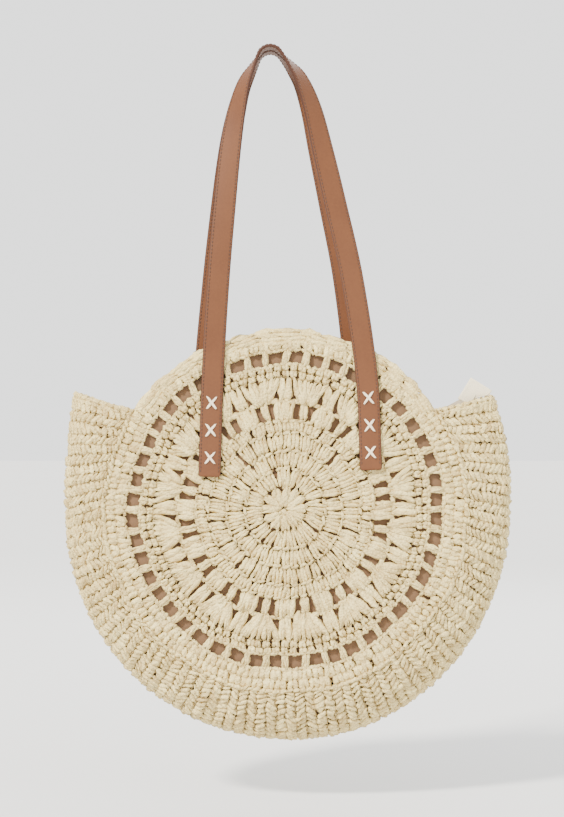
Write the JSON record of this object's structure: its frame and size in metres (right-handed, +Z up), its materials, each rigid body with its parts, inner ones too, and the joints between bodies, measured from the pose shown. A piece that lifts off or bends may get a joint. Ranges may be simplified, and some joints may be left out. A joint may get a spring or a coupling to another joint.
{
  "type": "beach bag",
  "caption": "Round crocheted straw tote with openwork panels, folded side gusset, curved zip mouth and two long leather strap handles.",
  "frame": {"origin": "axis of the peg that both handles hang over, midway between the two straps", "axes": "+Z up, front of the bag faces -Y, peg runs along Y, +X to the right seen from the front"},
  "size_m": [0.4148, 0.0728, 0.632],
  "materials": {
    "paper_straw": "crocheted paper straw, dry and slightly glossy fibres",
    "tan_leather": "smooth tan leather, satin",
    "cream_thread": "waxed cream thread",
    "tan_lining": "plain woven cotton",
    "zip_tape": "woven tape",
    "zip_teeth": "moulded coil",
    "zip_metal": "brushed antique brass",
    "cream_cloth": "plain woven cotton"
  },
  "bodies": {
    "bag": {"back_panel": "paper_straw", "side_gusset": "paper_straw", "left_gusset_hem": "paper_straw", "right_gusset_hem": "paper_straw", "back_seam": "paper_straw", "back_mouth_edging": "paper_straw", "back_lining": "tan_lining", "side_lining": "tan_lining", "back_zip_tape": "zip_tape", "back_zip_chain": "zip_teeth", "back_zip_stops": "zip_metal", "zip_tail": "zip_tape", "zip_end_tab": "cream_cloth", "back_left_strap_end": "tan_leather", "back_right_strap_end": "tan_leather", "back_left_cross_stitches": "cream_thread", "back_right_cross_stitches": "cream_thread"},
    "front": {"front_panel": "paper_straw", "front_seam": "paper_straw", "front_mouth_edging": "paper_straw", "front_lining": "tan_lining", "front_zip_tape": "zip_tape", "front_zip_chain": "zip_teeth", "front_zip_stops": "zip_metal", "front_left_strap_end": "tan_leather", "front_right_strap_end": "tan_leather", "front_left_cross_stitches": "cream_thread", "front_right_cross_stitches": "cream_thread"},
    "front_handle": {"front_handle_strap": "tan_leather"},
    "back_handle": {"back_handle_strap": "tan_leather"},
    "zip_slider": {"zip_slider_body": "zip_metal"},
    "zip_pull": {"zip_pull_tab": "zip_metal"}
  },
  "joints": [
    {"name": "mouth_open", "type": "hinge", "parent": "bag", "child": "front", "pos_m": [0.014, -0.0325, -0.5735], "axis": [1, 0, 0], "range_deg": [0, 12]},
    {"name": "front_handle_fall", "type": "hinge", "parent": "front", "child": "front_handle", "pos_m": [0.0178, -0.02385, -0.29], "axis": [1, 0, 0], "range_deg": [0, 165]},
    {"name": "back_handle_fall", "type": "hinge", "parent": "bag", "child": "back_handle", "pos_m": [0.0088, 0.02385, -0.29], "axis": [-1, 0, 0], "range_deg": [0, 165]},
    {"name": "zip_travel", "type": "hinge", "parent": "bag", "child": "zip_slider", "pos_m": [0.014, 0, -0.409], "axis": [0, 1, 0], "range_deg": [0, 102]},
    {"name": "pull_swing", "type": "hinge", "parent": "zip_slider", "child": "zip_pull", "pos_m": [-0.11128, 0, -0.30755], "axis": [0, 1, 0], "range_deg": [0, 125]}
  ]
}
